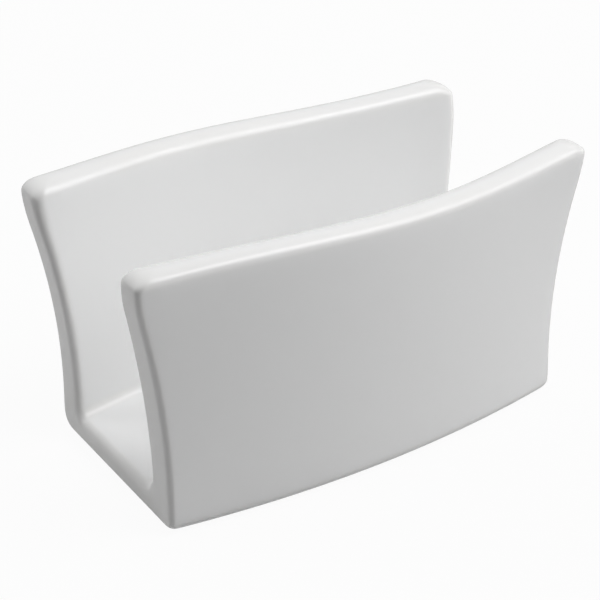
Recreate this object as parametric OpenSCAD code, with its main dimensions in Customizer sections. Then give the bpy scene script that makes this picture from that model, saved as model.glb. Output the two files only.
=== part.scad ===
// Napkin holder: one glazed ceramic channel, open at the top and at both ends,
// standing on four soft pads that sit in a recess in its underside.
// X runs along the holder, Y across it, Z up. The origin is on the table,
// under the middle of the holder.

/* [Overall size] */
// Length of the foot, from end to end
foot_length = 159; // [120:1:200]
// Width of the foot at its middle
foot_width = 92.5; // [80:0.5:130]
// Height of the rims at their ends, above the foot
rim_height = 97; // [70:1:130]

/* [Walls] */
// Thickness of the walls
wall = 12.5; // [11:0.5:16]
// How far the middle of a wall bulges past its ends, at the foot
wall_bow = 7.4; // [0:0.1:14]
// How much more a wall bulges at the rim
bow_gain = 3.2; // [0:0.2:4]
// How far the walls' upper corners turn out again
corner_flare = 3; // [0:0.1:4]
// How far a wall leans out at the rim
wall_flare = 2.6; // [0:0.1:8]
// How far a wall is drawn in above the foot
wall_waist = 0.6; // [0:0.1:1]

/* [Open ends] */
// How far each end runs out at the rim
end_flare = 9.7; // [0:0.1:14]
// How far each end is drawn in above the foot
end_waist = 0.2; // [0:0.1:3]
// Radius of the rims' corners, seen from the side
rim_corner_r = 5.5; // [2:0.5:8]
// Radius of the foot's corners, seen from the side
foot_corner_r = 5; // [1:0.5:6]
// Rounding of the outer edges
end_outer_r = 2.6; // [1:0.1:2.7]
// Rounding of the inner edges
end_inner_r = 4.2; // [1:0.1:4.2]

/* [Rims] */
// How much lower the middle of a rim is than its ends
rim_sag = 2.1; // [0:0.2:6]
// Height of the slight S-wave along each rim
rim_wave = 1.1; // [0:0.1:3]
// How much lower the rear rim lies at its right end than in its middle
rear_drop = 1.7; // [0:0.1:3]
// How much less the rear wall runs out at its right end
rear_trim = 3.4; // [0:0.1:5]
// Height of the rim's rounding on its outer side
rim_outer_rise = 4.2; // [4:0.1:6]
// Height of the rim's rounding on its inner side
rim_inner_rise = 4.6; // [4.4:0.1:7]
// Fullness of the rims' rounding: 1 is elliptic, less is squarer
rim_round_share = 0.8; // [0.6:0.05:1]

/* [Floor] */
// Thickness of the floor
floor_thickness = 9.2; // [8:0.2:14]
// Radius of the hollow between the floor and a wall
floor_fillet_r = 4; // [3:0.5:12]
// Rounding of the foot's long edges
foot_edge_r = 4.5; // [2.8:0.1:6]

/* [Underside] */
// Width of the foot ring around the recess
foot_ring_w = 9.5; // [6:0.5:12]
// Depth of the recess
recess_depth = 1.2; // [0.6:0.1:2]
// Radius of the recess's corners
recess_corner_r = 5; // [3:0.5:10]

/* [Foot pads] */
// Diameter of a pad
pad_d = 10; // [6:0.5:14]
// How far a pad stands out below the foot ring
pad_proud = 0.8; // [0.4:0.1:2]
// Chamfer of a pad's lower edge
pad_edge = 0.4; // [0.2:0.1:0.8]
// Gap from a pad to the sides of the recess
pad_margin = 3; // [1:0.5:8]

/* [Hidden] */
overrun = 1;
length_steps = 32;
end_steps = 5;
arc_steps = 6;
wall_steps = 8;
floor_steps = 2;
recess_steps = 36;
pad_fn = 64;
pad_thickness = recess_depth + pad_proud;
recess_half = foot_length / 2 - foot_ring_w;
pad_x = recess_half - pad_margin - pad_d / 2;
pad_y = face_y(pad_x + pad_d / 2, 0) - foot_ring_w - pad_margin - pad_d / 2;

// A parabola over the height: it dips by waist low down and runs out to flare at the rim
function sweep_start(waist, flare) = -2 * (waist + sqrt(waist * (waist + flare)));
function sweep(share, waist, flare) =
    let (start = sweep_start(waist, flare))
    start * share + (flare - start) * share * share;

// What a corner of radius r takes away at the distance d from its tip
function corner_cut(d, r) = d < r ? r - sqrt(max(0, r * r - (r - d) * (r - d))) : 0;

// Height of the rim at the share s of the half length
function rim_z(s) = rim_height - rim_sag * (1 - s * s) - rim_wave * sin(180 * s);

// Half length of the holder at the height z, under a rim of the height rim
function half_length(z, rim) =
    foot_length / 2 + sweep(z / rim_height, end_waist, end_flare)
    - corner_cut(rim - z, rim_corner_r) - corner_cut(z, foot_corner_r);

// Distance from the middle plane to a wall's outer face
function face_y(x, z) =
    let (q = 2 * x / foot_length)
    let (share = z / rim_height)
    let (bow = wall_bow + bow_gain * share)
    let (turn_out = corner_flare * share * share)
    foot_width / 2 + sweep(share, wall_waist, wall_flare) - bow * q * q + turn_out * q * q * q * q;

// A station is [share of the half length, turn of the rounding at the open end]
stations = concat(
    [for (i = [end_steps:-1:1]) [-1, 90 * i / end_steps]],
    [for (i = [0:length_steps]) [2 * i / length_steps - 1, 0]],
    [for (i = [1:end_steps]) [1, 90 * i / end_steps]]);

// Rim height at a station, carried on over the rounded end
function station_rim(st) =
    rim_z(st[0] * (1 + 2 * end_inner_r * sin(st[1]) / foot_length));

// A point at the height z that lies depth inside the front wall's outer face
function skin(st, edge, depth, z) =
    let (reach = half_length(z, station_rim(st)) - edge * (1 - sin(st[1])))
    let (x = st[0] * reach)
    [x, depth - face_y(x, z), z];

// The points from p to the middle plane
function to_middle(p) =
    [for (i = [1:floor_steps]) [p[0], p[1] * (1 - i / floor_steps), p[2]]];

// Outer or inner side of the rim: a full arc from the crest in the wall's middle
// down to the face at the depth face_depth. The rounding at the open ends goes over
// from edge on the face to the mean of both sides' roundings at the crest.
function rim_arc(st, edge, face_depth, rise) =
    let (mean = (end_outer_r + end_inner_r) / 2)
    let (low = station_rim(st) - rise)
    let (inwards = face_depth < wall / 2 ? 1 : -1)
    [for (i = [arc_steps:-1:0])
        let (t = 90 * i / arc_steps)
        let (local = edge + (mean - edge) * sin(t))
        let (cut = local * (1 - cos(st[1])))
        let (start = face_depth + inwards * cut)
        skin(st, local, start + (wall / 2 - start) * (1 - pow(cos(t), rim_round_share)),
            low + (rise - cut) * pow(sin(t), rim_round_share))];

// Outside of the front half: rim, outer face, foot edge and underside
function outer_half(st) =
    let (cut = end_outer_r * (1 - cos(st[1])))
    let (foot_r = foot_edge_r - cut)
    let (high = station_rim(st) - rim_outer_rise)
    let (low = foot_edge_r)
    let (face = [for (i = [1:wall_steps])
        skin(st, end_outer_r, cut, high + (low - high) * i / (wall_steps + 1))])
    let (foot_arc = [for (i = [0:arc_steps]) let (t = 90 * i / arc_steps)
        skin(st, end_outer_r, cut + foot_r * (1 - cos(t)), low - foot_r * sin(t))])
    concat(rim_arc(st, end_outer_r, 0, rim_outer_rise),
        face, foot_arc, to_middle(foot_arc[arc_steps]));

// Inside of the front half: rim, inner face, hollow and floor
function inner_half(st) =
    let (cut = end_inner_r * (1 - cos(st[1])))
    let (fillet_r = floor_fillet_r + cut)
    let (high = station_rim(st) - rim_inner_rise)
    let (low = floor_thickness + floor_fillet_r)
    let (deep = wall - cut)
    let (face = [for (i = [1:wall_steps])
        skin(st, end_inner_r, deep, high + (low - high) * i / (wall_steps + 1))])
    let (fillet = [for (i = [0:arc_steps]) let (t = 90 * i / arc_steps)
        skin(st, end_inner_r, deep + fillet_r * (1 - cos(t)), low - fillet_r * sin(t))])
    concat(rim_arc(st, end_inner_r, wall, rim_inner_rise),
        face, fillet, to_middle(fillet[arc_steps]));

// The place in the rear wall that mirrors p in the front wall: the rear rim lies lower to
// the right and higher to the left, and its right end runs out less
function mirrored(p) =
    let (rise_share = max(0, p[2] - floor_thickness) / (rim_height - floor_thickness))
    let (q = 2 * p[0] / foot_length)
    let (trim = rear_trim * pow(rise_share * max(0, q), 2))
    [p[0] - trim, -p[1], p[2] - rear_drop * rise_share * q];

// A path over the whole width, from the crest of the front rim to that of the rear rim
function whole_path(half) =
    concat(half, [for (i = [len(half) - 2:-1:0]) mirrored(half[i])]);

// One closed section: along the outside, and back along the inside
function section(st) =
    let (inside = whole_path(inner_half(st)))
    concat(whole_path(outer_half(st)), [for (i = [len(inside) - 2:-1:1]) inside[i]]);

// Skin through all the sections, with each end closed between its outside and its inside
module channel() {
    rings = [for (st = stations) section(st)];
    n = len(rings[0]);
    span = n / 2;
    last = len(rings) - 1;
    sides = [for (k = [0:last - 1]) for (j = [0:n - 1])
        let (a = k * n + j)
        let (b = k * n + (j + 1) % n)
        each [[a, a + n, b + n], [a, b + n, b]]];
    outs = [for (j = [0:span - 1]) [j, j + 1, (n - j - 1) % n]];
    ins = [for (j = [1:span - 1]) [j, (n - j - 1) % n, n - j]];
    first_end = concat([for (f = outs) if (f[1] != f[2]) f], ins);
    far_end = [for (f = first_end) [f[2], f[1], f[0]] + last * [n, n, n]];
    polyhedron([for (r = rings) each r], concat(sides, first_end, far_end));
}

// Plan of the recess, which keeps the foot ring's width from the foot's outline
module recess_plan() {
    side = [for (i = [0:recess_steps]) let (x = -recess_half * cos(180 * i / recess_steps))
        [x, face_y(x, 0) - foot_ring_w
            - corner_cut(recess_half - abs(x), recess_corner_r)]];
    polygon(concat(side, [for (i = [recess_steps:-1:0]) [side[i][0], -side[i][1]]]));
}

module foot_pad(front, right) {
    r = pad_d / 2;
    color([0.72, 0.73, 0.74])
        translate([right * pad_x, -front * pad_y, 0])
            rotate_extrude($fn = pad_fn)
                polygon([[0, 0], [r - pad_edge, 0], [r, pad_edge], [r, pad_thickness],
                         [0, pad_thickness]]);
}

module holder_body() {
    color([0.95, 0.95, 0.94])
        translate([0, 0, pad_proud])
            difference() {
                channel();
                translate([0, 0, -overrun])
                    linear_extrude(height = recess_depth + overrun)
                        recess_plan();
            }
}

module foot_pad_front_left() {
    foot_pad(1, -1);
}

module foot_pad_front_right() {
    foot_pad(1, 1);
}

module foot_pad_rear_left() {
    foot_pad(-1, -1);
}

module foot_pad_rear_right() {
    foot_pad(-1, 1);
}

holder_body();
foot_pad_front_left();
foot_pad_front_right();
foot_pad_rear_left();
foot_pad_rear_right();
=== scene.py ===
"""Looks for a napkin holder: one glazed ceramic channel on four soft pads, on a pale floor.

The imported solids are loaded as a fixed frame. The glazed body and the pads are built here as
smooth meshes that stand for their solids. All lengths are in metres, X runs along the
holder, Y across it, Z up, and the origin is on the floor under the holder's middle.
"""

import math

import bmesh
import bpy
from bpy.props import FloatProperty, FloatVectorProperty, PointerProperty
from mathutils import Matrix, Vector


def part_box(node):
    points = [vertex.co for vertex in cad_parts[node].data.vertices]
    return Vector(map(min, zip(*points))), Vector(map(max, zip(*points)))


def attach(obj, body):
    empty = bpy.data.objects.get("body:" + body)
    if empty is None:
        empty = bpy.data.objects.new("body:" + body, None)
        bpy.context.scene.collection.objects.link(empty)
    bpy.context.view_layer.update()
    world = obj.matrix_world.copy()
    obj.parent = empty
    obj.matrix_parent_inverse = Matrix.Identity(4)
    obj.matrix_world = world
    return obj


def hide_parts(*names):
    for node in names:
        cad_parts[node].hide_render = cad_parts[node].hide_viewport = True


bl_info = {
    "name": "Napkin Holder",
    "version": (1, 0, 0),
    "blender": (4, 5, 0),
    "location": "View3D > Sidebar > Napkin Holder",
    "description": "Builds a glazed napkin holder with its pads, floor, lamps and camera",
    "category": "Object",
}

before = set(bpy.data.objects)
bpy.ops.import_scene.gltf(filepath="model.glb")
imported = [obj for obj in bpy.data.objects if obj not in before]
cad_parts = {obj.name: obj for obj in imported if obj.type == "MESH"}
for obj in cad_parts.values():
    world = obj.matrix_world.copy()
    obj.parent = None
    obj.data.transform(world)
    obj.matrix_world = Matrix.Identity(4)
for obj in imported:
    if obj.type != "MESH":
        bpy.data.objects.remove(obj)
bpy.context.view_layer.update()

MM = 0.001


def size(name, description, default, low, high):
    """A length that a user may change, given here in millimetres."""
    return FloatProperty(name=name, description=description, default=default * MM,
                         min=low * MM, max=high * MM, subtype="DISTANCE", unit="LENGTH",
                         precision=4)


def share(name, description, default, low=0.0, high=1.0):
    """A plain number that a user may change."""
    return FloatProperty(name=name, description=description, default=default,
                         min=low, max=high)


def colour(name, description, default):
    """A colour that a user may change."""
    return FloatVectorProperty(name=name, description=description, default=default,
                               subtype="COLOR", size=3, min=0.0, max=1.0)


class HolderSizes(bpy.types.PropertyGroup):
    """Sizes of the glazed channel, with heights above its foot. They are the solid's own but
    for the ends' flare and waist and the rear trim, which go with the rounder corners here."""

    foot_length: size("Foot length", "Length of the foot, from end to end", 159, 100, 250)
    foot_width: size("Foot width", "Width of the foot at its middle", 92.5, 60, 150)
    rim_height: size("Rim height", "Height of the rims at their ends above the foot",
                     97, 50, 150)
    wall: size("Wall", "Thickness of the walls", 12.5, 8, 20)
    wall_bow: size("Wall bow", "How far a wall's middle bulges past its ends", 7.4, 0, 20)
    bow_gain: size("Bow gain", "How much more a wall bulges at the rim", 3.2, 0, 6)
    corner_flare: size("Corner flare", "How far the walls' upper corners turn out again",
                       3, 0, 6)
    wall_flare: size("Wall flare", "How far a wall leans out at the rim", 2.6, 0, 12)
    wall_waist: size("Wall waist", "How far a wall is drawn in above the foot", 0.6, 0, 2)
    end_flare: size("End flare", "How far each end runs out at the rim", 10.8, 0, 20)
    end_waist: size("End waist", "How far each end is drawn in above the foot", 0.35, 0, 4)
    rim_sag: size("Rim sag", "How much lower a rim's middle is than its ends", 2.1, 0, 8)
    rim_wave: size("Rim wave", "Height of the slight wave along each rim", 1.1, 0, 4)
    rear_drop: size("Rear drop", "How much lower the rear rim lies at its right end",
                    1.7, 0, 3)
    rear_trim: size("Rear trim", "How much less the rear wall runs out at its right end",
                    4.8, 0, 6)
    floor_thickness: size("Floor thickness", "Thickness of the floor", 9.2, 6, 16)
    foot_ring: size("Foot ring", "Width of the foot ring around the recess", 9.5, 5, 14)
    recess_depth: size("Recess depth", "Depth of the recess in the underside", 1.2, 0.4, 3)


class HolderEdges(bpy.types.PropertyGroup):
    """Roundings of the glazed channel's edges. Some are the solid's own, and the others
    follow the photograph more closely than the solid's plainer ones."""

    rim_outer_rise: size("Rim, outer side", "Height of the rim's rounding on its outer side",
                         4.2, 2, 8)
    rim_inner_rise: size("Rim, inner side", "Height of the rim's rounding on its inner side",
                         4.6, 2, 8)
    rim_fullness: share("Rim fullness", "Rounding of the rims: 1 is elliptic, less is squarer",
                        0.8, 0.5, 1)
    rim_thinning: size("Rim thinning", "How much thinner the walls are at the middle of their "
                       "rims", 2, 0, 4)
    rim_corner: size("Rim corners", "Radius of the rims' corners, seen from the side",
                     9, 1, 10)
    foot_corner_right: size("Right foot corners", "Radius of the foot's right corners, seen "
                            "from the side", 5.5, 1, 7)
    foot_corner_left: size("Left foot corners", "Radius of the foot's left corners, seen "
                           "from the side", 3, 1, 7)
    end_outer: size("Outer end edges", "Rounding of the outer edges of the open ends",
                    2.1, 1, 4)
    end_outer_top: size("Right outer end edges, top", "Rounding of the right ones up at the "
                        "rims", 3.9, 1, 4)
    end_inner: size("Inner end edges", "Rounding of the walls' inner edges at the open ends",
                    3.3, 1, 6)
    end_inner_top: size("Inner end edges, top", "Rounding of the same edges up at the rims",
                        4.2, 1, 6)
    end_set_back: size("End set-back", "How much further back the ends' outer edges lie than "
                       "the inner ones at half height", 0.6, 0, 2)
    floor_end: size("Floor's ends", "Rounding of the floor's edges at the open ends",
                    3.4, 1, 6)
    hollow_front: size("Front hollow", "Radius of the hollow along the front wall", 8, 2, 10)
    hollow_rear: size("Rear hollow", "Radius of the hollow along the rear wall", 3.2, 2, 10)
    foot_front: size("Foot's front edge", "Rounding of the foot's long front edge", 4.5, 1, 6)
    foot_rear: size("Foot's rear edge", "Rounding of the foot's long rear edge", 8.5, 1, 9)
    recess_corner: size("Recess corners", "Radius of the recess's corners", 5, 1, 8)
    recess_edge: size("Recess edges", "Rounding of the recess's edges", 0.4, 0.1, 1)


class GlazeLook(bpy.types.PropertyGroup):
    """Colours and finish of the glaze and of the bare clay under it."""

    glaze: colour("Glaze", "Colour of the glaze where it lies thick", (0.915, 0.917, 0.917))
    thin: colour("Thin glaze", "Colour of the glaze where it runs thin over an edge",
                 (0.905, 0.902, 0.893))
    clay: colour("Bare clay", "Colour of the wiped foot ring", (0.70, 0.67, 0.62))
    roughness: share("Roughness", "Roughness of the glaze", 0.225)
    waviness: size("Waviness", "Height of the glaze's slow waves", 0.05, 0, 0.5)


class PadLook(bpy.types.PropertyGroup):
    """Rounding, colour and finish of the soft pads, whose sizes come from their solids."""

    dome: size("Pad edge", "Size of the soft rounding of a pad's lower edge", 0.35, 0.1, 0.8)
    pad: colour("Pad", "Colour of the pads", (0.62, 0.63, 0.64))
    roughness: share("Roughness", "Roughness of the pads", 0.48)


class StageLook(bpy.types.PropertyGroup):
    """Floor, lamps and camera."""

    floor: colour("Floor", "Colour of the floor", (0.6, 0.6, 0.6))
    floor_glow: share("Floor glow", "How much of its white the camera sees unshaded", 0.95)
    gloss_glow: share("Glow in the gloss", "How bright the floor shows in the gloss", 0.4)
    lamps: share("Lamps", "Strength of all the lamps", 1, 0, 4)
    room: share("Room light", "Strength of the light from all round", 0, 0, 2)
    focal: FloatProperty(name="Focal length", description="Focal length of the camera",
                         default=107.374, min=20, max=400, unit="CAMERA")


def link(name, bm):
    """A new object at the origin that holds the finished mesh."""
    mesh = bpy.data.meshes.new(name)
    bm.to_mesh(mesh)
    bm.free()
    mesh.shade_smooth()
    piece = bpy.data.objects.new(name, mesh)
    bpy.context.scene.collection.objects.link(piece)
    return piece


def foot_level():
    """Height of the channel's foot over the floor."""
    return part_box("holder_body")[0].z


# Shape of the channel

# How many cells the channel's skin has: along it, in a rounding, down a wall, under and over
# the floor on each side of the middle plane
LENGTH_CELLS, ARC_CELLS, WALL_CELLS, FLOOR_CELLS = 36, 6, 10, 4

# How far each point of a rounding is turned, from its start to a quarter turn
ARC_TURNS = [math.pi / 2 * i / ARC_CELLS for i in range(ARC_CELLS + 1)]

# Places on a half section, counted from the rim's crest: where the rounding between the wall
# and the foot or the floor starts and ends, and where the recess's side lies on the outside
BEND_START = ARC_CELLS + 1 + WALL_CELLS
BEND_END = BEND_START + ARC_CELLS
RECESS_SIDE = BEND_END + 1

# Half a unit cell of the drawn strip, and how near a point has to be to a place to lie there
HALF_CELL, NEARBY = 0.5, 0.1

# How steeply the rounding of the ends' upper edges fades out downwards, and how steeply the
# walls' thinning grows towards the rims
FADE_POWER, THINNING_POWER = 3, 4


def sweep(height_share, waist, flare):
    """A parabola over the height: in by waist low down, out to flare at the rim."""
    start = -2 * (waist + math.sqrt(waist * (waist + flare)))
    return start * height_share + (flare - start) * height_share ** 2


def corner_cut(distance, radius):
    """What a rounded corner takes away at a distance from its tip."""
    if distance >= radius:
        return 0
    return radius - math.sqrt(max(0, radius ** 2 - (radius - distance) ** 2))


def drawn_in(station):
    """How far the faces have moved into the wall at a station, as a share of the rounding."""
    return 1 - math.cos(station[1])


class Half:
    """The channel's skin on one side of its middle plane, laid out as the front half is.

    It is a row of sections across the channel, each at a station along it. A station is a
    share of the half length from -1 to 1, and a turn in radians, which is above zero only in
    the rounding at an open end.
    """

    def __init__(self, sizes, edges, rear):
        self.sizes = sizes
        self.edges = edges
        self.rear = rear
        self.foot_edge = edges.foot_rear if rear else edges.foot_front
        self.hollow = edges.hollow_rear if rear else edges.hollow_front
        self.recess_half = sizes.foot_length / 2 - sizes.foot_ring

    def stations(self):
        """The stations from end to end, close together where the recess's corners turn."""
        near, far = self.end_stations(-1), self.end_stations(1)
        start, stop = near[0][0], far[0][0]
        middle = [(start + (stop - start) * i / LENGTH_CELLS, 0) for i in range(LENGTH_CELLS)]
        return near[:0:-1] + middle + far

    def end_stations(self, side):
        """The stations from the recess's corner to the open end on one side."""
        edges = self.edges
        foot_half = self.half_length(side, 0, self.sizes.rim_height) - edges.end_outer
        corner = [edges.recess_corner * (1 - math.cos(turn)) for turn in reversed(ARC_TURNS)]
        inner = [((self.recess_half - run) / foot_half, 0) for run in corner]
        outer = [(1, turn) for turn in ARC_TURNS]
        return [(side * along, turn) for along, turn in inner + outer]

    def rim_level(self, station):
        """Height of the rim, carried on over the rounding at an open end."""
        sizes = self.sizes
        along, turn = station
        along *= 1 + 2 * self.edges.end_inner_top * math.sin(turn) / sizes.foot_length
        wave = sizes.rim_wave * math.sin(math.pi * along)
        return sizes.rim_height - sizes.rim_sag * (1 - along ** 2) - wave

    def half_length(self, side, z, rim):
        """Half length of the channel at a height, under a rim of the height rim. The side is
        above zero towards the right end."""
        sizes, edges = self.sizes, self.edges
        run_out = sweep(z / sizes.rim_height, sizes.end_waist, sizes.end_flare)
        foot_corner = edges.foot_corner_right if side > 0 else edges.foot_corner_left
        return (sizes.foot_length / 2 + run_out - corner_cut(rim - z, edges.rim_corner)
                - corner_cut(z, foot_corner))

    def face_distance(self, x, z):
        """Distance from the middle plane to the wall's outer face."""
        sizes = self.sizes
        along = 2 * x / sizes.foot_length
        height_share = z / sizes.rim_height
        bow = sizes.wall_bow + sizes.bow_gain * height_share
        lean = sweep(height_share, sizes.wall_waist, sizes.wall_flare)
        turn_out = sizes.corner_flare * height_share ** 2
        return sizes.foot_width / 2 + lean - bow * along ** 2 + turn_out * along ** 4

    def thinning(self, x, depth, z):
        """How much deeper a point lies because the wall thins out towards the middle of its
        rim: the front wall on its outside, the rear wall on its inside."""
        along = 2 * x / self.sizes.foot_length
        growth = (z / self.sizes.rim_height) ** THINNING_POWER
        most = self.edges.rim_thinning * growth * max(0, 1 - along ** 2)
        inwards = min(1, depth / self.sizes.wall)
        return -most * inwards if self.rear else most * (1 - inwards)

    def skin(self, station, edge, depth, z):
        """The point that lies depth inside the wall's outer face at the height z, where edge
        is the rounding of the open end."""
        along, turn = station
        outwards = max(0, 1 - depth / self.sizes.wall)
        back = self.edges.end_set_back * outwards * math.sin(math.pi * z / self.sizes.rim_height)
        reach = self.half_length(along, z, self.rim_level(station))
        x = along * (reach - edge * (1 - math.sin(turn)) - max(0, back))
        return Vector((x, depth + self.thinning(x, depth, z) - self.face_distance(x, z), z))

    def outer_top(self, station):
        """Rounding of the outer end edge up at the rim."""
        return self.edges.end_outer_top if station[0] > 0 else self.edges.end_outer

    def inwards(self, face_depth):
        """The way into the wall: 1 from its outer face, -1 from its inner one."""
        return 1 if face_depth < self.sizes.wall / 2 else -1

    def rim_arc(self, station, edge, face_depth, rise):
        """One side of the rim, from its crest in the wall's middle down to a face."""
        mean = (self.outer_top(station) + self.edges.end_inner_top) / 2
        low = self.rim_level(station) - rise
        points = []
        for turn in reversed(ARC_TURNS):
            local = edge + (mean - edge) * math.sin(turn)
            cut = local * drawn_in(station)
            start = face_depth + self.inwards(face_depth) * cut
            across = 1 - max(0, math.cos(turn)) ** self.edges.rim_fullness
            depth = start + (self.sizes.wall / 2 - start) * across
            up = math.sin(turn) ** self.edges.rim_fullness
            points.append(self.skin(station, local, depth, low + (rise - cut) * up))
        return points

    def face(self, station, ends, face_depth, high, low):
        """The points down the wall's face, between the roundings above and below it. The ends
        are its end edge's roundings at the top, which soon fades out, and low down."""
        points = []
        for i in range(1, WALL_CELLS + 1):
            down = i / (WALL_CELLS + 1)
            edge = ends[1] + (ends[0] - ends[1]) * (1 - down) ** FADE_POWER
            depth = face_depth + self.inwards(face_depth) * edge * drawn_in(station)
            points.append(self.skin(station, edge, depth, high + (low - high) * down))
        return points

    def recess_outline(self, x):
        """Distance from the middle plane to the recess's side."""
        cut = corner_cut(max(0, self.recess_half - abs(x)), self.edges.recess_corner)
        return self.face_distance(x, 0) - self.sizes.foot_ring - cut

    def outer_side(self, station):
        """Rim, outer face, foot edge and underside."""
        edges = self.edges
        top = self.outer_top(station)
        points = self.rim_arc(station, top, 0, edges.rim_outer_rise)
        points += self.face(station, (top, edges.end_outer), 0,
                            self.rim_level(station) - edges.rim_outer_rise, self.foot_edge)
        cut = edges.end_outer * drawn_in(station)
        radius = self.foot_edge - cut
        for turn in ARC_TURNS:
            points.append(self.skin(station, edges.end_outer,
                                    cut + radius * (1 - math.cos(turn)),
                                    self.foot_edge - radius * math.sin(turn)))
        last = points[-1]
        outline = self.recess_outline(last.x)
        points += [Vector((last.x, -outline * (1 - i / (FLOOR_CELLS - 1)), last.z))
                   for i in range(FLOOR_CELLS)]
        return points

    def inner_side(self, station):
        """Rim, inner face, hollow and floor."""
        sizes, edges = self.sizes, self.edges
        low = sizes.floor_thickness + self.hollow
        points = self.rim_arc(station, edges.end_inner_top, sizes.wall, edges.rim_inner_rise)
        points += self.face(station, (edges.end_inner_top, edges.end_inner), sizes.wall,
                            self.rim_level(station) - edges.rim_inner_rise, low)
        for turn in ARC_TURNS:
            edge = edges.end_inner + (edges.floor_end - edges.end_inner) * math.sin(turn)
            radius = self.hollow + edge * drawn_in(station)
            depth = sizes.wall + self.hollow - radius * math.cos(turn)
            points.append(self.skin(station, edge, depth, low - radius * math.sin(turn)))
        last = points[-1]
        points += [Vector((last.x, last.y * (1 - i / FLOOR_CELLS), last.z))
                   for i in range(1, FLOOR_CELLS + 1)]
        return points

    def mirrored(self, point):
        """The rear half's place for a point laid out in front: the rear rim drops to the
        right, and its right end runs out less."""
        sizes = self.sizes
        x, y, z = point
        floor = sizes.floor_thickness
        rise = max(0, z - floor) / (sizes.rim_height - floor)
        along = 2 * x / sizes.foot_length
        trim = sizes.rear_trim * (rise * max(0, along)) ** 2
        return Vector((x - trim, -y, z - sizes.rear_drop * rise * along))


def whole_side(front_points, rear_points, rear):
    """One side of a section, from the front rim's crest to the rear rim's crest."""
    return front_points + [rear.mirrored(point) for point in reversed(rear_points[:-1])]


def section(front, rear, station):
    """Outside and inside of one section."""
    return (whole_side(front.outer_side(station), rear.outer_side(station), rear),
            whole_side(front.inner_side(station), rear.inner_side(station), rear))


def drawn_strip(bm, cells_round, cells_along):
    """A strip of plain cells, pointed at both ends and drawn up into a block: X counts its
    cells, Y is 0 on its outside and 1 on its inside, and Z counts the stations."""
    bmesh.ops.create_grid(bm, x_segments=cells_round, y_segments=1, size=HALF_CELL)
    bmesh.ops.translate(bm, vec=(HALF_CELL, HALF_CELL, 0), verts=bm.verts)
    bmesh.ops.scale(bm, vec=(cells_round, 1, 1), verts=bm.verts)
    for tip in (0, cells_round):
        pair = [v for v in bm.verts if abs(v.co.x - tip) < NEARBY]
        bmesh.ops.pointmerge(bm, verts=pair, merge_co=(tip, HALF_CELL, 0))
    cap = bm.faces[:]
    for step in range(cells_along):
        drawn = bmesh.ops.extrude_face_region(bm, geom=cap)
        moved = [g for g in drawn["geom"] if isinstance(g, bmesh.types.BMVert)]
        bmesh.ops.translate(bm, vec=(0, 0, 1), verts=moved)
        if step > 0:
            bmesh.ops.delete(bm, geom=cap, context="FACES")
        cap = [g for g in drawn["geom"] if isinstance(g, bmesh.types.BMFace)]


def faces_over_recess(bm, stations, cells_round):
    """The drawn strip's outside faces that lie between the recess's sides and its ends."""
    recess_end = next(k for k, (along, turn) in enumerate(stations)
                      if turn == 0 and along > -1)
    found = []
    for face in bm.faces:
        middle = face.calc_center_median()
        if (middle.y < NEARBY and RECESS_SIDE < middle.x < cells_round - RECESS_SIDE
                and recess_end < middle.z < len(stations) - 1 - recess_end):
            found.append(face)
    return found


def shape_channel(bm, front, rear, base):
    """Moves a drawn strip's points onto the channel's sections, marks those on rounded edges
    in the layer thin_glaze, and returns the faces over the recess."""
    stations = front.stations()
    sections = [section(front, rear, station) for station in stations]
    cells_round = len(sections[0][0]) - 1
    drawn_strip(bm, cells_round, len(stations) - 1)
    under = faces_over_recess(bm, stations, cells_round)
    thin = bm.verts.layers.float.new("thin_glaze")
    for vert in bm.verts:
        place, k = round(vert.co.x), round(vert.co.z)
        to_tip = min(place, cells_round - place)
        on_edge = (0 < to_tip < ARC_CELLS or BEND_START < to_tip < BEND_END
                   or stations[k][1] > 0)
        vert[thin] = 1.0 if on_edge else 0.0
        outside, inside = sections[k]
        side = inside if vert.co.y > HALF_CELL + NEARBY else outside
        vert.co = side[place] + Vector((0, 0, base))
    bmesh.ops.recalc_face_normals(bm, faces=bm.faces)
    return under


def sink_recess(bm, under, depth, weight):
    """Draws the faces under the recess up, and marks the edges round its mouth and round its
    ceiling in the layer weight, for their rounding."""
    drawn = bmesh.ops.extrude_face_region(bm, geom=under)
    moved = [g for g in drawn["geom"] if isinstance(g, bmesh.types.BMVert)]
    bmesh.ops.translate(bm, vec=(0, 0, depth), verts=moved)
    bmesh.ops.delete(bm, geom=under, context="FACES")
    bm.normal_update()
    top = set(moved)
    sides = [f for f in bm.faces if len([v for v in f.verts if v in top]) == 2]
    for side in sides:
        for edge in side.edges:
            if len([v for v in edge.verts if v in top]) != 1:
                edge[weight] = 1.0


class NAPKINHOLDER_OT_body(bpy.types.Operator):
    """Builds the glazed channel: a skin over sections that bulge, lean, flare and round off"""

    bl_idname = "napkin_holder.body"
    bl_label = "Glazed Body"
    bl_options = {"REGISTER", "UNDO"}

    def execute(self, context):
        scene = context.scene
        sizes, edges = scene.holder_sizes, scene.holder_edges
        bm = bmesh.new()
        weight = bm.edges.layers.float.new("bevel_weight_edge")
        front, rear = Half(sizes, edges, False), Half(sizes, edges, True)
        under = shape_channel(bm, front, rear, foot_level())
        sink_recess(bm, under, sizes.recess_depth, weight)
        body = link("glazed_body", bm)
        rounded = body.modifiers.new("Rounded recess", "BEVEL")
        rounded.limit_method = "WEIGHT"
        rounded.width = edges.recess_edge
        rounded.segments = 2
        rounded.profile = 0.5
        smooth = body.modifiers.new("Smooth", "SUBSURF")
        smooth.levels = smooth.render_levels = 1
        body.data.materials.append(glaze_material(scene.glaze_look, foot_level()))
        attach(body, "root")
        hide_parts("holder_body")
        return {"FINISHED"}


# Soft pads

PAD_NAMES = ("foot_pad_front_left", "foot_pad_front_right",
             "foot_pad_rear_left", "foot_pad_rear_right")

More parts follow.
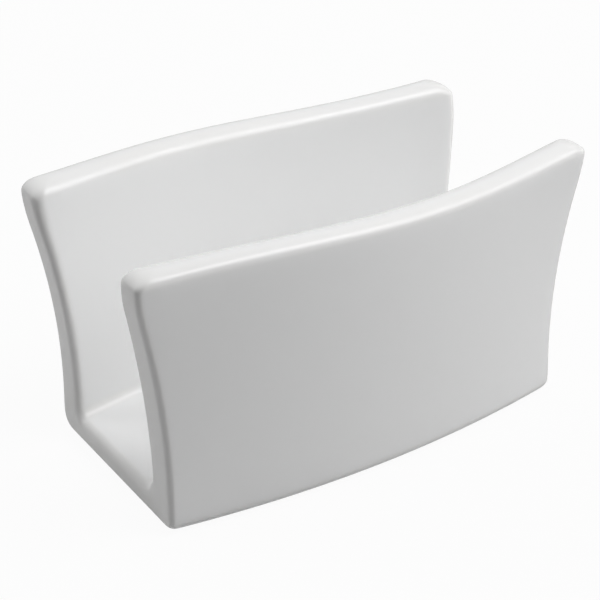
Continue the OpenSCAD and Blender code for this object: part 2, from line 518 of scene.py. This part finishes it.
# A pad is a hair narrower than its solid, and its underside is flat out to this share of
# its radius
PAD_WIDTH_SHARE, PAD_FLAT_SHARE = 0.995, 0.55
# Points of the rounding of a pad's lower edge, as shares of the dome: in from the side, and up
PAD_ROUND_SHARES = ((2, 0.4), (0.6, 1), (0, 2))
PAD_STEPS = 48
MERGE_DISTANCE = 0.01 * MM


def turned_pad(radius, height, dome):
    """A pad on the origin, turned from its profile."""
    profile = [(0, 0), (radius * PAD_FLAT_SHARE, 0)]
    profile += [(radius - dome * inwards, dome * up) for inwards, up in PAD_ROUND_SHARES]
    profile += [(radius, height), (0, height)]
    bm = bmesh.new()
    verts = [bm.verts.new((r, 0, z)) for r, z in profile]
    line = [bm.edges.new(pair) for pair in zip(verts, verts[1:])]
    bmesh.ops.spin(bm, geom=verts + line, cent=(0, 0, 0), axis=(0, 0, 1),
                   angle=2 * math.pi, steps=PAD_STEPS, use_merge=True)
    bmesh.ops.remove_doubles(bm, verts=bm.verts, dist=MERGE_DISTANCE)
    bmesh.ops.recalc_face_normals(bm, faces=bm.faces)
    return bm


class NAPKINHOLDER_OT_pads(bpy.types.Operator):
    """Builds the four soft pads under the corners, each turned from one rounded profile"""

    bl_idname = "napkin_holder.pads"
    bl_label = "Foot Pads"
    bl_options = {"REGISTER", "UNDO"}

    def execute(self, context):
        look = context.scene.pad_look
        material = pad_material(look)
        for name in PAD_NAMES:
            low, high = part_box(name)
            radius = min(high.x - low.x, high.y - low.y) / 2 * PAD_WIDTH_SHARE
            bm = turned_pad(radius, high.z - low.z, look.dome)
            middle = (low + high) / 2
            bmesh.ops.translate(bm, vec=(middle.x, middle.y, low.z), verts=bm.verts)
            pad = link(name.replace("foot_pad", "soft_pad"), bm)
            pad.data.materials.append(material)
            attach(pad, "root")
            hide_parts(name)
        return {"FINISHED"}


# Materials

GLAZE_IOR, PAD_IOR = 1.5, 1.42

# Noise patterns: scale in cells per metre, and detail
THIN_PATCHES, WIPED_EDGE, CLAY_GRAIN = (45, 2), (90, 2), (1400, 3)
POLISH_CLOUDS, SLOW_WAVES, FINE_SKIN = (60, 3), (55, 2), (700, 2)
PAD_CLOUDS = (900, 2)
# The values between which a pattern goes from its least to its full strength
GLAZE_CLOUD_SPAN, PAD_CLOUD_SPAN = (0.3, 0.7), (0.35, 0.65)

# How much of the thin glaze's colour an edge shows at least
THINNEST_SHARE = 0.4
# The clay's dark grain: its colour as a share of the plain clay's, and how much of the plain
# colour still lies over it
CLAY_DARK_SHARE, CLAY_GRAIN_SHARE = 0.9, 0.88
# Where the glaze is wiped off the foot: heights over the foot at which the clay starts to show
# and is quite bare, how far that line wanders up or down, and how much rougher the clay is
WIPE_START, WIPE_END, WIPE_WANDER = 0.35 * MM, 0.15 * MM, 0.2 * MM
CLAY_ROUGHER = 0.45
# How far the glaze's roughness goes below and above its set value
POLISH_BELOW, POLISH_ABOVE = 0.02, 0.03
# Strength of the slow waves and of the fine skin, and the skin's height as a share of theirs
WAVE_STRENGTH, SKIN_STRENGTH, SKIN_SHARE = 0.35, 0.12, 0.2

# The pads' darker clouds, the swing of their roughness, and the strength and height of their
# relief
PAD_DARK_SHARE, PAD_ROUGHNESS_SWING = 0.93, 0.06
PAD_RELIEF_STRENGTH, PAD_RELIEF = 0.2, 0.02 * MM


class Nodes:
    """A node tree, and the kinds of nodes that the looks are made of."""

    def __init__(self, tree):
        self.tree = tree

    def feed(self, socket, value):
        """Links a socket to another node's output, or sets it to a number or a colour."""
        if isinstance(value, bpy.types.NodeSocket):
            self.tree.links.new(value, socket)
        else:
            socket.default_value = value

    def add(self, kind, values):
        """The outputs of a new node whose sockets are fed by name."""
        made = self.tree.nodes.new(kind)
        for name, value in values.items():
            self.feed(made.inputs[name], value)
        return made.outputs

    def noise(self, place, pattern):
        """A cloudy pattern."""
        scale, detail = pattern
        return self.add("ShaderNodeTexNoise",
                        {"Vector": place, "Scale": scale, "Detail": detail})["Fac"]

    def span(self, value, low, high, start, end):
        """The value, carried over from the span low to high onto the span start to end."""
        return self.add("ShaderNodeMapRange",
                        {"Value": value, "From Min": low, "From Max": high,
                         "To Min": start, "To Max": end})["Result"]

    def arithmetic(self, operation, a, b):
        """The sum, the product or the larger one of two values."""
        made = self.tree.nodes.new("ShaderNodeMath")
        made.operation = operation
        for socket, value in zip(made.inputs, (a, b)):
            self.feed(socket, value)
        return made.outputs["Value"]

    def blend(self, kind, factor, a, b):
        """A mix of two colours, of the kind RGBA, or of two numbers, of the kind VALUE: a
        where the factor is 0, and b where it is 1."""
        made = self.tree.nodes.new("ShaderNodeMix")
        made.data_type = "RGBA" if kind == "RGBA" else "FLOAT"
        self.feed(made.inputs["Factor"], factor)
        for name, value in (("A", a), ("B", b)):
            socket = next(i for i in made.inputs if i.name == name and i.type == kind)
            self.feed(socket, value)
        return next(o for o in made.outputs if o.type == kind)

    def relief(self, height, strength, distance, below=None):
        """The normals of a relief, laid over another relief's normals where they are given."""
        values = {"Height": height, "Strength": strength, "Distance": distance}
        if below is not None:
            values["Normal"] = below
        return self.add("ShaderNodeBump", values)["Normal"]


def opaque(shade, strength=1):
    """A colour with full cover, darkened where the strength is under 1."""
    return (*[channel * strength for channel in shade], 1)


def new_material(name):
    """A new material, its nodes and the inputs of its principled shader."""
    material = bpy.data.materials.new(name)
    material.use_nodes = True
    tree = material.node_tree
    return material, Nodes(tree), tree.nodes["Principled BSDF"].inputs


def glaze_material(look, base):
    """White glaze with slow waves and a fine skin, and bare clay on the wiped foot ring."""
    material, nodes, shader = new_material("white_glaze")
    shader["IOR"].default_value = GLAZE_IOR
    place = nodes.add("ShaderNodeTexCoord", {})["Object"]

    thin = nodes.tree.nodes.new("ShaderNodeAttribute")
    thin.attribute_name = "thin_glaze"
    patches = nodes.span(nodes.noise(place, THIN_PATCHES), *GLAZE_CLOUD_SPAN, THINNEST_SHARE, 1)
    edge = nodes.arithmetic("MULTIPLY", thin.outputs["Fac"], patches)
    skin = nodes.blend("RGBA", edge, opaque(look.glaze), opaque(look.thin))

    wander = nodes.span(nodes.noise(place, WIPED_EDGE), 0, 1, -WIPE_WANDER, WIPE_WANDER)
    height = nodes.add("ShaderNodeSeparateXYZ", {"Vector": place})["Z"]
    wiped = nodes.span(nodes.arithmetic("ADD", height, wander),
                       base + WIPE_START, base + WIPE_END, 0, 1)
    grain = nodes.span(nodes.noise(place, CLAY_GRAIN), *GLAZE_CLOUD_SPAN, CLAY_GRAIN_SHARE, 1)
    clay = nodes.blend("RGBA", grain, opaque(look.clay, CLAY_DARK_SHARE), opaque(look.clay))
    nodes.feed(shader["Base Color"], nodes.blend("RGBA", wiped, skin, clay))

    polish = nodes.span(nodes.noise(place, POLISH_CLOUDS), *GLAZE_CLOUD_SPAN,
                        look.roughness - POLISH_BELOW, look.roughness + POLISH_ABOVE)
    rougher = nodes.arithmetic("MULTIPLY", wiped, CLAY_ROUGHER)
    nodes.feed(shader["Roughness"], nodes.arithmetic("ADD", polish, rougher))

    waves = nodes.relief(nodes.noise(place, SLOW_WAVES), WAVE_STRENGTH, look.waviness)
    nodes.feed(shader["Normal"],
               nodes.relief(nodes.noise(place, FINE_SKIN), SKIN_STRENGTH,
                            look.waviness * SKIN_SHARE, waves))
    return material


def pad_material(look):
    """Soft, slightly cloudy pads."""
    material, nodes, shader = new_material("soft_pad")
    shader["IOR"].default_value = PAD_IOR
    clouds = nodes.noise(nodes.add("ShaderNodeTexCoord", {})["Object"], PAD_CLOUDS)
    paleness = nodes.span(clouds, *PAD_CLOUD_SPAN, 0, 1)
    nodes.feed(shader["Base Color"],
               nodes.blend("RGBA", paleness, opaque(look.pad, PAD_DARK_SHARE),
                           opaque(look.pad)))
    nodes.feed(shader["Roughness"],
               nodes.span(clouds, 0, 1, look.roughness - PAD_ROUGHNESS_SWING,
                          look.roughness + PAD_ROUGHNESS_SWING))
    nodes.feed(shader["Normal"], nodes.relief(clouds, PAD_RELIEF_STRENGTH, PAD_RELIEF))
    return material


# Stage

FLOOR_HALF_SIDE = 4
WHITE = (1, 1, 1, 1)

# The lamps stand round a point over the floor. Each has a name, a turn to the right from
# straight in front and a rise in degrees, a side in metres, a power in watts, and whether it
# shows in the gloss.
LAMP_TARGET = Vector((0, 0, 0.05))
LAMP_DISTANCE = 1.25
LAMPS = (
    ("Front lamp", 45, 35, 0.6, 3.85, True),
    ("High lamp", 45, 60, 0.6, 4.5, True),
    ("Wide high lamp", 80, 60, 1.1, 1.75, True),
    ("High fill", 45, 65, 0.6, 3.5, False),
    ("Low front fill", 45, 8, 0.6, 1.25, False),
    ("Right fill", 90, 8, 0.6, 1.5, False),
    ("Low rear right fill", 135, 8, 0.6, 3, False),
    ("Rear fill", 180, 35, 0.6, 2, False),
    ("High rear fill", 180, 65, 0.6, 1.85, False),
    ("Rear left fill", 225, 35, 0.6, 3.2, False),
    ("Low rear left fill", 225, 10, 0.6, 2.2, False),
)

# Where the photograph was taken from, with angles in degrees as for the lamps. The aim lies
# on the middle line at a share of the rims' height, and a little to the side and up.
CAMERA_TURN, CAMERA_RISE, CAMERA_ROLL = -33.087, 30.363, -0.124
CAMERA_DISTANCE = 0.62173
AIM_HEIGHT_SHARE = 0.45
AIM_SIDE, AIM_UP = -0.003466, 0.000239
# The camera's film width in millimetres, and how near and far it sees
FILM_WIDTH = 36
SEEN_FROM, SEEN_TO = 0.01, 20


def bearing(turn, rise):
    """The direction at a turn to the right from straight in front and at a rise."""
    turn, rise = math.radians(turn), math.radians(rise)
    return Vector((math.sin(turn) * math.cos(rise), -math.cos(turn) * math.cos(rise),
                   math.sin(rise)))


def floor_material(look):
    """A pale floor that keeps its shadow: white to the camera, and fainter in the gloss."""
    material = bpy.data.materials.new("pale_floor")
    material.use_nodes = True
    tree = material.node_tree
    tree.nodes.clear()
    nodes = Nodes(tree)
    rays = nodes.add("ShaderNodeLightPath", {})
    strength = nodes.blend("VALUE", rays["Is Glossy Ray"], 1, look.gloss_glow)
    seen = rays["Is Camera Ray"]
    for kind in ("Is Glossy Ray", "Is Transmission Ray"):
        seen = nodes.arithmetic("MAXIMUM", seen, rays[kind])
    matt = nodes.add("ShaderNodeBsdfDiffuse", {"Color": opaque(look.floor)})["BSDF"]
    glow = nodes.add("ShaderNodeEmission", {"Color": WHITE, "Strength": strength})["Emission"]
    both = tree.nodes.new("ShaderNodeMixShader")
    amount = nodes.arithmetic("MULTIPLY", seen, look.floor_glow)
    for socket, value in zip(both.inputs, (amount, matt, glow)):
        nodes.feed(socket, value)
    nodes.add("ShaderNodeOutputMaterial", {"Surface": both.outputs["Shader"]})
    return material


def room_light(look):
    """An even room light of the set strength, whose background the camera sees as white."""
    world = bpy.data.worlds.new("Room")
    bpy.context.scene.world = world
    world.use_nodes = True
    nodes = Nodes(world.node_tree)
    rays = nodes.add("ShaderNodeLightPath", {})
    back = world.node_tree.nodes["Background"].inputs
    nodes.feed(back["Color"], WHITE)
    nodes.feed(back["Strength"], nodes.blend("VALUE", rays["Is Camera Ray"], look.room, 1))


def lamp(name, place, side, power, glint):
    """A soft square lamp that faces the holder, and shows in its gloss where glint is set."""
    data = bpy.data.lights.new(name, "AREA")
    data.shape = "SQUARE"
    data.size, data.energy = side, power
    made = bpy.data.objects.new(name, data)
    bpy.context.scene.collection.objects.link(made)
    made.location = place
    made.rotation_euler = (LAMP_TARGET - made.location).to_track_quat("-Z", "Y").to_euler()
    made.visible_glossy = glint


def place_camera(look, rim_height, base):
    """The photograph's camera."""
    back, side = bearing(CAMERA_TURN, CAMERA_RISE), bearing(CAMERA_TURN + 90, 0)
    up = back.cross(side)
    aim = Vector((0, 0, base + AIM_HEIGHT_SHARE * rim_height)) + AIM_SIDE * side + AIM_UP * up
    roll = math.radians(CAMERA_ROLL)
    across = math.cos(roll) * side + math.sin(roll) * up
    upward = math.cos(roll) * up - math.sin(roll) * side
    data = bpy.data.cameras.new("Camera")
    data.lens, data.sensor_width = look.focal, FILM_WIDTH
    data.clip_start, data.clip_end = SEEN_FROM, SEEN_TO
    camera = bpy.data.objects.new("Camera", data)
    bpy.context.scene.collection.objects.link(camera)
    turned = Matrix((across, upward, back)).transposed().to_4x4()
    camera.matrix_world = Matrix.Translation(aim + CAMERA_DISTANCE * back) @ turned
    bpy.context.scene.camera = camera


class NAPKINHOLDER_OT_stage(bpy.types.Operator):
    """Sets up the pale floor, the soft lamps, the room light and the camera"""

    bl_idname = "napkin_holder.stage"
    bl_label = "Stage"
    bl_options = {"REGISTER", "UNDO"}

    def execute(self, context):
        look = context.scene.stage_look
        bm = bmesh.new()
        bmesh.ops.create_grid(bm, x_segments=1, y_segments=1, size=FLOOR_HALF_SIDE)
        floor = link("floor", bm)
        floor.data.materials.append(floor_material(look))
        for name, turn, rise, side, power, glint in LAMPS:
            place = LAMP_TARGET + LAMP_DISTANCE * bearing(turn, rise)
            lamp(name, place, side, power * look.lamps, glint)
        room_light(look)
        place_camera(look, context.scene.holder_sizes.rim_height, foot_level())
        context.scene.view_settings.view_transform = "Standard"
        return {"FINISHED"}


class NAPKINHOLDER_PT_panel(bpy.types.Panel):
    """Lists the steps that build the holder, and its sizes and looks"""

    bl_idname = "NAPKINHOLDER_PT_panel"
    bl_label = "Napkin Holder"
    bl_space_type = "VIEW_3D"
    bl_region_type = "UI"
    bl_category = "Napkin Holder"

    def draw(self, context):
        for step in STEPS:
            self.layout.operator(step.bl_idname)
        for group_name in GROUPS:
            group = getattr(context.scene, group_name)
            box = self.layout.box()
            for name in group.__annotations__:
                box.prop(group, name)


GROUPS = {
    "holder_sizes": HolderSizes,
    "holder_edges": HolderEdges,
    "glaze_look": GlazeLook,
    "pad_look": PadLook,
    "stage_look": StageLook,
}
STEPS = (NAPKINHOLDER_OT_body, NAPKINHOLDER_OT_pads, NAPKINHOLDER_OT_stage)
CLASSES = (*GROUPS.values(), *STEPS, NAPKINHOLDER_PT_panel)


def register():
    for each in CLASSES:
        bpy.utils.register_class(each)
    for name, group in GROUPS.items():
        setattr(bpy.types.Scene, name, PointerProperty(type=group))


def unregister():
    for name in GROUPS:
        delattr(bpy.types.Scene, name)
    for each in reversed(CLASSES):
        bpy.utils.unregister_class(each)


def main():
    register()
    bpy.ops.napkin_holder.body()
    bpy.ops.napkin_holder.pads()
    bpy.ops.napkin_holder.stage()


if __name__ == "__main__":
    main()
